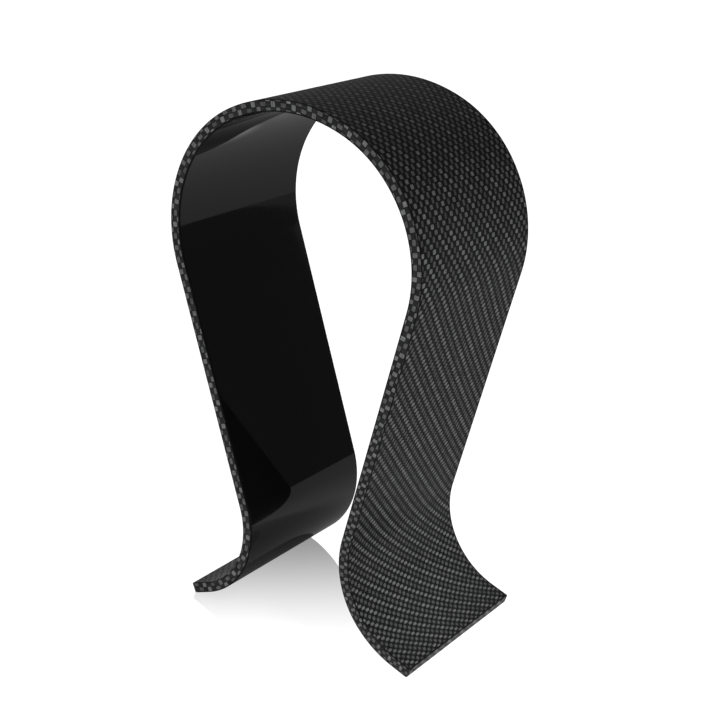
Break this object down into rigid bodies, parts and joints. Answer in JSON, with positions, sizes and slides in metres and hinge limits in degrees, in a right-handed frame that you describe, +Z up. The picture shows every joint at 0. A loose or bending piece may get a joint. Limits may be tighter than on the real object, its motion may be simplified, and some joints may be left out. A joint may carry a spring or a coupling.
{
  "type": "headphone stand",
  "caption": "Free-standing arch bent from one gloss black sheet, faced with carbon weave film, with flared feet; a headband rests over its rounded crown.",
  "frame": {"origin": "on the floor plane, midway between the two feet and midway in depth", "axes": "+Z up the stand to its crown, +X to the right across the arch, +Y to the back along the constant section"},
  "size_m": [0.132, 0.08, 0.24],
  "materials": {
    "gloss_black_acrylic": "polished gloss black",
    "carbon_face_film": "fine plain weave carbon film under a satin clear coat",
    "carbon_edge_film": "coarse plain weave carbon film, satin"
  },
  "bodies": {
    "root": {"core_sheet": "gloss_black_acrylic", "outer_carbon_skin": "carbon_face_film", "front_edge_band": "carbon_edge_film", "rear_edge_band": "carbon_edge_film", "left_foot_end_band": "carbon_edge_film", "right_foot_end_band": "carbon_edge_film"}
  },
  "joints": []
}
